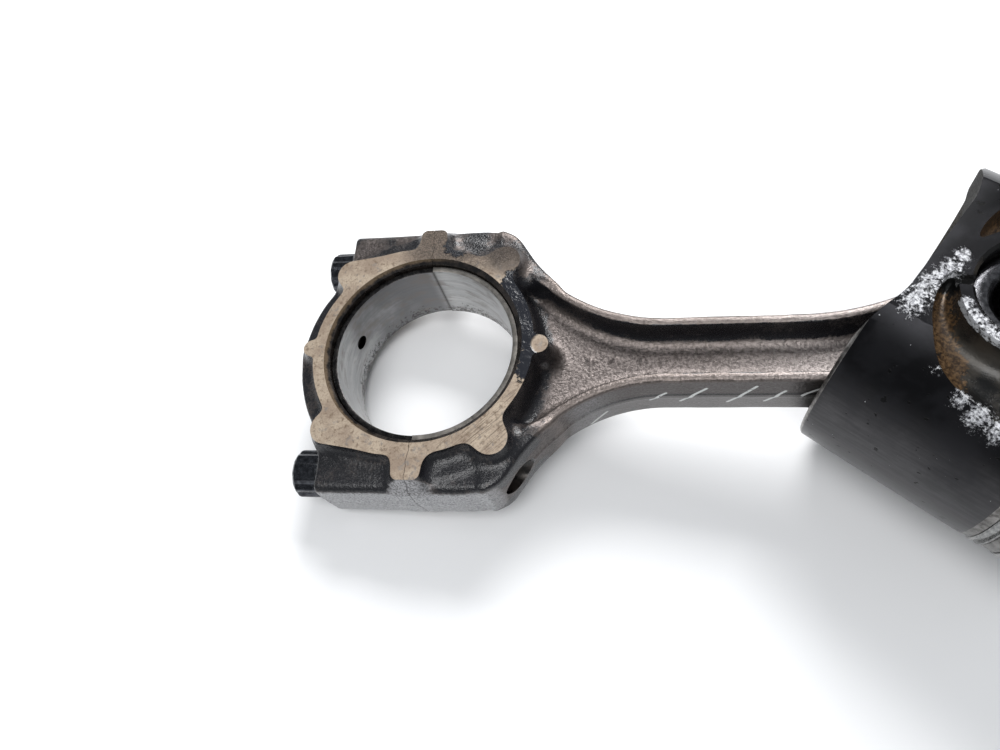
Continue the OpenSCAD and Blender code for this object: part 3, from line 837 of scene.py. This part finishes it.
class Look:
    """One material and the nodes that it is wired from."""

    def __init__(self, name, piston=False):
        self.mat = bpy.data.materials.new(name)
        self.mat.use_nodes = True
        self.tree = self.mat.node_tree
        self.shader = self.tree.nodes["Principled BSDF"]
        metres = self.add("TexCoord").outputs["Object"]
        self.at = self.vector("MULTIPLY", metres, (1 / MM,) * 3)
        if piston:
            # the piston's own axes, from the pin's middle
            self.at = self.turned(self.vector("SUBTRACT", self.at, (PIN_X, 0, 0)), -SWING)
        self.bumps = None

    def add(self, kind, inputs=(), **settings):
        """A new node with its settings, and its inputs by number or by name."""
        node = self.tree.nodes.new("ShaderNode" + kind)
        for key, value in settings.items():
            setattr(node, key, value)
        for key, value in inputs.items() if isinstance(inputs, dict) else enumerate(inputs):
            self.put(node.inputs[key], value)
        return node

    def put(self, socket, value):
        if isinstance(value, bpy.types.NodeSocket):
            self.tree.links.new(value, socket)
        else:
            socket.default_value = value

    def set(self, name, value):
        self.put(self.shader.inputs[name], value)

    def mark(self, name):
        """A number that mark() stored on the mesh."""
        return self.add("Attribute", attribute_name=name).outputs["Fac"]

    def vector(self, how, a, b=(0, 0, 0)):
        out = "Value" if how in ("DOT_PRODUCT", "LENGTH", "DISTANCE") else "Vector"
        return self.add("VectorMath", (a, b), operation=how).outputs[out]

    def turned(self, at, angle):
        """Place turned about the Z axis."""
        inputs = {"Vector": at, "Angle": angle}
        return self.add("VectorRotate", inputs, rotation_type="Z_AXIS").outputs[0]

    def stretch(self, x, y, z):
        return self.vector("MULTIPLY", self.at, (x, y, z))

    def axis(self, which):
        return self.add("SeparateXYZ", (self.at,)).outputs[which]

    def radius(self):
        """Distance from the Z axis."""
        return self.vector("LENGTH", self.stretch(1, 1, 0))

    def blob(self, x, y, r, soft=2.5):
        """1 inside a round patch seen from above, 0 outside."""
        off = self.vector("DISTANCE", self.stretch(1, 1, 0), (x, y, 0))
        return self.band(off, r - soft / 2, r + soft / 2, 1, 0)

    def patches(self, *rows):
        """1 inside any of several patches."""
        return self.most(*[self.blob(*row) for row in rows])

    def stroke(self, x0, z0, x1, z1, half_w):
        """1 inside a short straight stroke seen from the side, 0 outside."""
        along = Vector((x1 - x0, 0, z1 - z0))
        rel = self.vector("SUBTRACT", self.stretch(1, 0, 1), (x0, 0, z0))
        t = self.vector("DOT_PRODUCT", rel, tuple(along / along.length_squared))
        t = self.math("MULTIPLY", t, 1.0, clamp=True)
        near = self.vector("MULTIPLY", tuple(along), self.add("CombineXYZ", (t, t, t)).outputs[0])
        off = self.vector("LENGTH", self.vector("SUBTRACT", rel, near))
        return self.band(off, half_w - 0.12, half_w + 0.12, 1, 0)

    def noise(self, scale, detail=4, rough=0.55, at=None):
        inputs = {"Vector": at or self.at, "Scale": scale, "Detail": detail, "Roughness": rough}
        return self.add("TexNoise", inputs).outputs["Fac"]

    def math(self, how, a, b=0.0, clamp=False):
        return self.add("Math", (a, b), operation=how, use_clamp=clamp).outputs[0]

    def times(self, a, b):
        return self.math("MULTIPLY", a, b)

    def plus(self, a, b):
        return self.math("ADD", a, b)

    def most(self, *values):
        out = values[0]
        for v in values[1:]:
            out = self.math("MAXIMUM", out, v)
        return out

    def band(self, value, lo, hi, a=0.0, b=1.0):
        """Value mapped from lo..hi to a..b with soft ends."""
        inputs = {"Value": value, "From Min": lo, "From Max": hi, "To Min": a, "To Max": b}
        return self.add("MapRange", inputs, interpolation_type="SMOOTHSTEP").outputs["Result"]

    def mix(self, fac, a, b):
        """Colour a where fac is 0, b where it is 1."""
        node = self.add("Mix", {"Factor": fac}, data_type="RGBA")
        for name, value in (("A", a), ("B", b)):
            socket = [i for i in node.inputs if i.name == name and i.type == "RGBA"][0]
            self.put(socket, (*value, 1) if isinstance(value, tuple) else value)
        return [o for o in node.outputs if o.type == "RGBA"][0]

    def bump(self, height, depth_mm):
        """Relief of a depth in millimetres, on top of any relief before it."""
        node = self.add("Bump", {"Strength": 1.0, "Distance": depth_mm * MM, "Height": height})
        if self.bumps is not None:
            self.put(node.inputs["Normal"], self.bumps)
        self.bumps = node.outputs[0]
        self.set("Normal", self.bumps)


def forged_look():
    """Shot-peened forging: dark metal, black where oil lies, painted shade in hollow corners, sheared
    sides with painted reflection, paint dashes.
    """
    m = Look("forged_steel_oily")
    peen = m.noise(1.3, 3, 0.6)
    fine = m.noise(3.2, 2, 0.5)
    cloud = m.noise(0.11, 4, 0.6)
    speck = m.noise(1.9, 3, 0.7)
    # black where oil lies and as painted shade in the hollow corners, plus random oil patches
    oil_and_painted_shade = m.plus(m.mark("oil_and_painted_shade"), m.band(cloud, 0.35, 0.75, -0.35, 0.4))
    oil_and_painted_shade = m.band(m.plus(oil_and_painted_shade, m.band(peen, 0.35, 0.65, -0.12, 0.12)), 0.3, 0.75)
    dry = m.mix(m.band(peen, 0.32, 0.68), (0.058, 0.049, 0.046), (0.150, 0.130, 0.123))
    dry = m.mix(m.times(m.mark("ridge"), 0.6), dry, (0.23, 0.195, 0.175))
    rubbed = m.times(m.band(m.axis(0), 75, 115, 0, 0.6), m.band(peen, 0.3, 0.6, 0.4, 1))
    dry = m.mix(rubbed, dry, (0.26, 0.235, 0.225))
    glint = m.times(m.band(speck, 0.66, 0.72), m.band(cloud, 0.4, 0.6))
    dry = m.mix(m.times(glint, 0.7), dry, (0.48, 0.44, 0.42))
    # sheared sides: brown above the parting line, greyer below it as painted reflection of the table,
    # grey-white on the bosses' sides as painted reflection too
    below = m.band(m.axis(2), 2.2, 0.6)
    flank = m.mix(below, (0.085, 0.073, 0.068), (0.17, 0.16, 0.155))
    line = m.math("ABSOLUTE", m.math("SUBTRACT", m.axis(2), 1.4))
    flank = m.mix(m.band(line, 0.25, 0.9, 0.9, 0), flank, (0.010, 0.009, 0.009))
    dry = m.mix(m.mark("side"), dry, flank)
    # painted reflection: grey-white where the pale mark lies
    grey = m.mix(m.band(speck, 0.35, 0.6), (0.12, 0.12, 0.125), (0.42, 0.42, 0.43))
    dry = m.mix(m.mark("pale_painted_reflection"), dry, grey)
    rust = m.band(m.noise(0.5, 4, 0.65), 0.60, 0.74, 0, 0.5)
    black = m.mix(rust, (0.010, 0.010, 0.012), (0.075, 0.066, 0.064))
    col = m.mix(oil_and_painted_shade, dry, black)
    dashes = m.most(*[m.stroke(*d, 0.42) for d in PAINT_DASHES])
    worn = m.times(dashes, m.band(peen, 0.30, 0.42))
    worn = m.times(worn, m.band(m.mark("side"), 0.5, 0.7))
    worn = m.times(worn, m.band(m.axis(1), -5, -6))
    m.set("Base Color", m.mix(worn, col, (0.62, 0.63, 0.62)))
    metal = m.band(oil_and_painted_shade, 0, 1, 0.85, 0.15)
    m.set("Metallic", m.times(metal, m.math("SUBTRACT", 1.0, worn)))
    m.set("Roughness", m.plus(m.band(oil_and_painted_shade, 0, 1, 0.34, 0.2), m.band(fine, 0.3, 0.7, 0, 0.1)))
    m.bump(peen, 0.17)
    m.bump(fine, 0.05)
    return m.mat


def thrust_look():
    """Ground thrust face: tan varnish, brown spots, scratches, oil film and corroded lobes."""
    m = Look("thrust_face_stained")
    stain = m.noise(0.16, 5, 0.6)
    mottle = m.noise(0.9, 4, 0.65)
    grit = m.noise(2.2, 4, 0.7)
    grey = m.noise(0.45, 4, 0.65)
    col = m.mix(m.band(stain, 0.35, 0.65), (0.235, 0.180, 0.135), (0.36, 0.295, 0.225))
    col = m.mix(m.band(grit, 0.45, 0.65, 0, 0.5), col, (0.16, 0.115, 0.08))
    col = m.mix(m.band(mottle, 0.52, 0.66, 0, 0.75), col, (0.105, 0.068, 0.04))
    col = m.mix(m.band(grey, 0.56, 0.68, 0, 0.5), col, (0.20, 0.19, 0.18))
    # the far lobes are pitted and dark
    far = m.plus(m.axis(1), m.band(stain, 0, 1, -6, 6))
    far = m.times(m.band(far, 20, 30, 0, 0.9), m.band(m.axis(0), -13, -3))
    pits = m.band(grit, 0.40, 0.62)
    col = m.mix(far, col, m.mix(pits, (0.14, 0.108, 0.085), (0.032, 0.024, 0.019)))
    burnt = m.times(m.blob(22.5, 28, 6, 5), 0.65)
    col = m.mix(burnt, col, (0.035, 0.026, 0.021))
    # fine scratches across the near rod-side lobe
    lines = m.noise(1.0, 4, 0.7, m.vector("MULTIPLY", m.turned(m.at, -0.75), (0.12, 3.0, 1)))
    where = m.patches((22, -22, 10, 8), (12, -28, 6, 5))
    scratch = m.times(where, m.band(lines, 0.5, 0.64))
    col = m.mix(m.times(scratch, 0.8), col, (0.08, 0.055, 0.035))
    ragged = m.band(mottle, 0.3, 0.7, -0.3, 0.3)
    oil = m.patches((29, 13, 8.5, 3), (31, 3, 5, 3), (30.5, -4, 3, 3), (30, -8, 3, 4), (7.5, 33, 4, 4),
                    (26.5, 19, 5, 3))
    oil = m.band(m.plus(oil, ragged), 0.35, 0.6)
    tab = m.blob(34, 0, 2.9, 0.8)
    oil = m.times(oil, m.math("SUBTRACT", 1.0, tab))
    m.set("Base Color", m.mix(oil, col, (0.010, 0.011, 0.015)))
    m.set("Metallic", m.band(oil, 0, 1, 0.25, 0.0))
    m.set("Roughness", m.plus(m.band(oil, 0, 1, 0.46, 0.10), m.band(grit, 0.3, 0.7, 0, 0.12)))
    m.bump(m.times(pits, far), 0.12)
    m.bump(scratch, 0.02)
    m.bump(m.times(stain, oil), 0.5)
    return m.mat


def bore_look():
    """Oily machined bore and chamfer: black, with brown varnish at the cap side's outer edge."""
    m = Look("bore_oiled")
    n = m.noise(0.35, 4, 0.65)
    edge = m.band(m.plus(m.radius(), m.band(n, 0, 1, -0.6, 0.6)), 27.5, 28.1)
    left = m.band(m.math("SUBTRACT", m.axis(0), m.times(m.axis(1), 0.3)), 2, -14)
    col = m.mix(m.band(n, 0.35, 0.65), (0.010, 0.009, 0.009), (0.035, 0.028, 0.024))
    m.set("Base Color", m.mix(m.times(edge, left), col, (0.13, 0.092, 0.058)))
    m.set("Metallic", 0.4)
    m.set("Roughness", m.band(n, 0.3, 0.7, 0.2, 0.35))
    m.bump(m.noise(2.5, 2), 0.01)
    return m.mat


def metal_look(name, dark, light, rough, scale=0.6, metallic=1.0, bump=0.02):
    """Plain metal with mottled colour, uneven gloss and fine grain."""
    m = Look(name)
    cloud = m.noise(scale, 5, 0.6)
    grain = m.noise(scale * 6, 3, 0.6)
    m.set("Base Color", m.mix(m.band(cloud, 0.3, 0.7), dark, light))
    m.set("Metallic", metallic)
    m.set("Roughness", m.band(grain, 0.25, 0.75, rough * 0.75, rough * 1.25))
    m.bump(grain, bump)
    return m.mat


def shell_look():
    """Worn bearing lining: satin grey, streaks round the bore, smudges and dark oil specks."""
    m = Look("bearing_lining_worn")
    streak = m.noise(1.0, 4, 0.6, m.stretch(0.10, 0.10, 1.6))
    cloud = m.noise(0.07, 4, 0.6)
    smear = m.noise(0.25, 5, 0.65, m.stretch(0.5, 0.5, 1.2))
    speck = m.noise(0.9, 4, 0.7)
    col = m.mix(m.band(streak, 0.3, 0.7), (0.36, 0.365, 0.37), (0.54, 0.54, 0.535))
    cap = m.band(m.axis(0), 3, -3)
    far = m.band(m.plus(m.axis(1), m.band(cloud, 0, 1, -14, 14)), 0, 22)
    dull = m.times(m.times(far, cap), 0.85)
    col = m.mix(dull, col, (0.13, 0.13, 0.135))
    col = m.mix(m.band(smear, 0.48, 0.66, 0, 0.6), col, (0.20, 0.175, 0.16))
    low = m.band(m.plus(m.axis(2), m.band(cloud, 0, 1, -4, 4)), -5, -11, 0.0, 0.2)
    dirt = m.band(m.plus(speck, low), 0.66, 0.74, 0, 0.85)
    col = m.mix(dirt, col, (0.04, 0.035, 0.032))
    seam = m.band(m.math("ABSOLUTE", m.axis(0)), 0.15, 0.8, 0.6, 0)
    col = m.mix(seam, col, (0.05, 0.045, 0.042))
    m.set("Base Color", col)
    m.set("Metallic", 0.85)
    m.set("Roughness", m.band(streak, 0.3, 0.7, 0.32, 0.46))
    m.bump(streak, 0.008)
    return m.mat


def corrosion(m, height):
    """White corrosion on the flats, the boss ring and the recess's rim."""
    flat = m.patches((-19.5, -17.5, 4, 7), (-19.3, -14, 3.6, 6), (-19, -11, 3.5, 6), (-18.3, -8, 3, 5),
                     (-17.5, -5, 3, 4.5), (-17.2, -1, 2.2, 3), (-10.8, -12.2, 2.4, 3),
                     (-8.6, -13.6, 2.4, 3.5), (-6.5, -14.5, 2.8, 4), (-4, -15.2, 2.8, 4),
                     (-1.5, -15.5, 3, 5))
    flat = m.times(flat, m.band(height, 32, 33))
    rim = m.most(m.blob(-0.5, -28.6, 2.2, 4), m.blob(4, -29.6, 3, 4.5), m.blob(9, -29.8, 3, 4.5),
                 m.times(m.blob(-8, -26.5, 1.5, 4), 0.7))
    rim = m.times(rim, m.band(height, 20, 22))
    grit = m.noise(1.0, 6, 0.8)
    return m.band(m.plus(m.times(m.most(flat, rim), 0.31), grit), 0.70, 0.80)


def skirt_look():
    """Graphite-dark skirt and flats, greyer towards the sides as worn graphite and painted sheen, satin
    lines, small pits and white corrosion.
    """
    m = Look("piston_skirt_sooty", piston=True)
    line = m.noise(1.0, 4, 0.6, m.stretch(0.12, 1.2, 1.2))
    cloud = m.noise(0.07, 4, 0.6)
    height = m.math("ABSOLUTE", m.axis(2))
    # black on the top and the flats, grey towards the sides: partly worn graphite, partly painted sheen
    soot_vs_painted_sheen = m.band(m.plus(height, m.band(cloud, 0, 1, -8, 8)), 4, 24)
    worn = m.mix(m.band(line, 0.3, 0.7), (0.040, 0.039, 0.041), (0.060, 0.058, 0.061))
    black = m.mix(m.band(cloud, 0.4, 0.6), (0.006, 0.006, 0.007), (0.014, 0.014, 0.016))
    col = m.mix(soot_vs_painted_sheen, worn, black)
    spots = m.most(corrosion(m, height), m.band(m.noise(1.1, 2, 0.5), 0.765, 0.785, 0, 0.8))
    nick = m.band(m.noise(0.42, 2, 0.4), 0.70, 0.72, 0, 0.9)
    col = m.mix(nick, col, (0.004, 0.004, 0.004))
    white = m.mix(m.band(m.noise(1.6, 3, 0.7), 0.4, 0.6), (0.24, 0.24, 0.26), (0.62, 0.63, 0.65))
    m.set("Base Color", m.mix(spots, col, white))
    m.set("Metallic", m.band(spots, 0, 1, 0.7, 0.0))
    m.set("Specular IOR Level", m.band(soot_vs_painted_sheen, 0, 1, 0.5, 0.25))
    m.set("Roughness", m.plus(m.band(soot_vs_painted_sheen, 0, 1, 0.34, 0.30), m.band(spots, 0, 1, 0, 0.3)))
    m.bump(line, 0.004)
    m.bump(spots, 0.12)
    m.bump(m.math("SUBTRACT", 1.0, nick), 0.1)
    return m.mat


def cast_look():
    """Cast aluminium under black oil, with brown varnish where it has baked on."""
    m = Look("piston_cast_varnished", piston=True)
    cloud = m.noise(0.14, 4, 0.6)
    grain = m.noise(1.2, 4, 0.65)
    height = m.math("ABSOLUTE", m.axis(2))
    varnish = m.patches((-15.5, -12, 3, 4), (-13, -15.5, 3.5, 4), (-9.5, -19, 3, 4), (-6, -22, 3.5, 4),
                        (-4, -26, 3, 4), (-16, 11, 5, 5))
    ragged = m.band(grain, 0.3, 0.7, -0.25, 0.25)
    varnish = m.band(m.plus(varnish, ragged), 0.35, 0.75)
    col = m.mix(m.band(cloud, 0.4, 0.65), (0.008, 0.008, 0.008), (0.035, 0.030, 0.024))
    brown = m.mix(m.band(grain, 0.35, 0.7), (0.022, 0.012, 0.006), (0.125, 0.075, 0.036))
    outside = m.band(height, 25, 26)
    col = m.mix(m.times(varnish, outside), col, brown)
    dull = m.mix(m.band(grain, 0.3, 0.7), (0.025, 0.021, 0.018), (0.09, 0.08, 0.07))
    col = m.mix(outside, dull, col)
    spots = corrosion(m, height)
    m.set("Base Color", m.mix(spots, col, (0.52, 0.53, 0.55)))
    m.set("Metallic", m.band(spots, 0, 1, 0.3, 0))
    m.set("Roughness", m.plus(m.band(cloud, 0.35, 0.65, 0.2, 0.38), m.band(spots, 0, 1, 0, 0.3)))
    m.bump(grain, 0.07)
    m.bump(spots, 0.12)
    return m.mat


def end_look():
    """The skirt's open end, dull with baked oil."""
    m = Look("skirt_end_baked", piston=True)
    m.set("Base Color", m.mix(m.band(m.noise(0.9, 4, 0.6), 0.35, 0.7), (0.006, 0.006, 0.006),
                              (0.035, 0.032, 0.029)))
    m.set("Specular IOR Level", 0.08)
    m.set("Roughness", m.band(m.noise(2.0, 3, 0.6), 0.3, 0.7, 0.6, 0.8))
    return m.mat


# ---------------------------------------------------------------- scene

def make_camera():
    """Camera at the photograph's viewing angle; the fit to the photograph gave its place and aim."""
    data = bpy.data.cameras.new("camera")
    data.lens = 27.17
    data.sensor_width = 36
    data.clip_start = 0.01
    cam = bpy.data.objects.new("camera", data)
    bpy.context.scene.collection.objects.link(cam)
    back = Vector((0.19912, -0.40558, 0.89211)).normalized()
    right = Vector((0.97989, 0.07072, -0.18657))
    right = (right - back * right.dot(back)).normalized()
    up = back.cross(right)
    turn = Matrix((right, up, back)).transposed().to_4x4()
    cam.matrix_world = Matrix.Translation(Vector((63.29, -90.98, 193.947)) * MM) @ turn
    bpy.context.scene.camera = cam


def area_light(name, where, aim, size, power):
    """Soft square lamp at a point in metres, pointed at another."""
    data = bpy.data.lights.new(name, "AREA")
    data.shape = "SQUARE"
    data.size = size
    data.energy = power
    lamp = bpy.data.objects.new(name, data)
    bpy.context.scene.collection.objects.link(lamp)
    to = Vector(aim) - Vector(where)
    lamp.matrix_world = Matrix.Translation(where) @ to.to_track_quat("-Z", "Y").to_matrix().to_4x4()


def make_world():
    """Even, faintly blue light from all round."""
    world = bpy.data.worlds.new("world")
    world.use_nodes = True
    world.node_tree.nodes["Background"].inputs[0].default_value = (0.9, 0.95, 1.0, 1)
    world.node_tree.nodes["Background"].inputs[1].default_value = 0.31
    bpy.context.scene.world = world
    bpy.context.scene.view_settings.view_transform = "Standard"


def make_floor():
    """Pale table top, tilted the way the assembly rests on its lower side."""
    s = 4000
    touch_x, touch_y, touch_z = -24, -31, -14.5
    v = [(x, y, touch_z - 0.16 * (x - touch_x) - 0.05 * (y - touch_y))
         for x, y in ((-s, -s), (s, -s), (s, s), (-s, s))]
    ob = new_object("floor", v, [(0, 1, 2, 3)])
    m = Look("table")
    m.set("Base Color", (0.87, 0.875, 0.885, 1))
    m.set("Roughness", 0.3)
    ob.data.materials.append(m.mat)


forged, thrust_face, bore = forged_look(), thrust_look(), bore_look()
make_rod([forged, thrust_face, bore, bore, forged])
black_bolt = metal_look("bolt_black_oxide", (0.018, 0.019, 0.023), (0.075, 0.079, 0.089), 0.24, 0.8)
cap_bolt(-BOLT_Y, "cap_bolt_near", "cap_bolt_lower", black_bolt)
cap_bolt(BOLT_Y, "cap_bolt_far", "cap_bolt_upper", black_bolt)
lining = shell_look()
back = metal_look("bearing_steel_back", (0.16, 0.148, 0.135), (0.30, 0.28, 0.255), 0.38, 0.3)
oily_back = metal_look("bearing_steel_back_oily", (0.010, 0.010, 0.011), (0.05, 0.047, 0.045), 0.25)
bearing_half(1, 24, "shell_rod_side", "bearing_shell_rod", [lining, back])
bearing_half(-1, 23, "shell_cap_side", "bearing_shell_cap", [lining, oily_back])
make_bush(metal_look("bush_bronze_worn", (0.30, 0.19, 0.09), (0.55, 0.38, 0.2), 0.3))
make_pin(metal_look("pin_ground_oily", (0.05, 0.05, 0.055), (0.2, 0.2, 0.21), 0.22))
clip = metal_look("circlip_steel", (0.08, 0.08, 0.08), (0.22, 0.22, 0.23), 0.3)
make_circlip(31.05, "circlip_near", "circlip_upper", clip)
make_circlip(-31.05, "circlip_far", "circlip_lower", clip)
cast = cast_look()
turned = metal_look("piston_turned", (0.08, 0.075, 0.07), (0.27, 0.26, 0.25), 0.35, 0.5)
crown = metal_look("piston_crown_sooty", (0.012, 0.011, 0.010), (0.07, 0.06, 0.05), 0.7, 0.25, 0.2, 0.15)
make_piston([skirt_look(), cast, turned, crown, end_look()])
make_rings(metal_look("ring_iron_ground", (0.2, 0.2, 0.2), (0.45, 0.45, 0.44), 0.28),
           metal_look("ring_carrier_iron", (0.14, 0.13, 0.12), (0.26, 0.25, 0.24), 0.4),
           metal_look("spring_steel_wire", (0.3, 0.3, 0.32), (0.5, 0.5, 0.52), 0.25))

make_camera()
make_world()
make_floor()
area_light("key", (0.2, 0.68, 0.6), (0.08, 0, 0), 0.45, 10.5)
area_light("top", (0.0, -0.3, 0.85), (0.05, 0, 0), 0.5, 5.5)
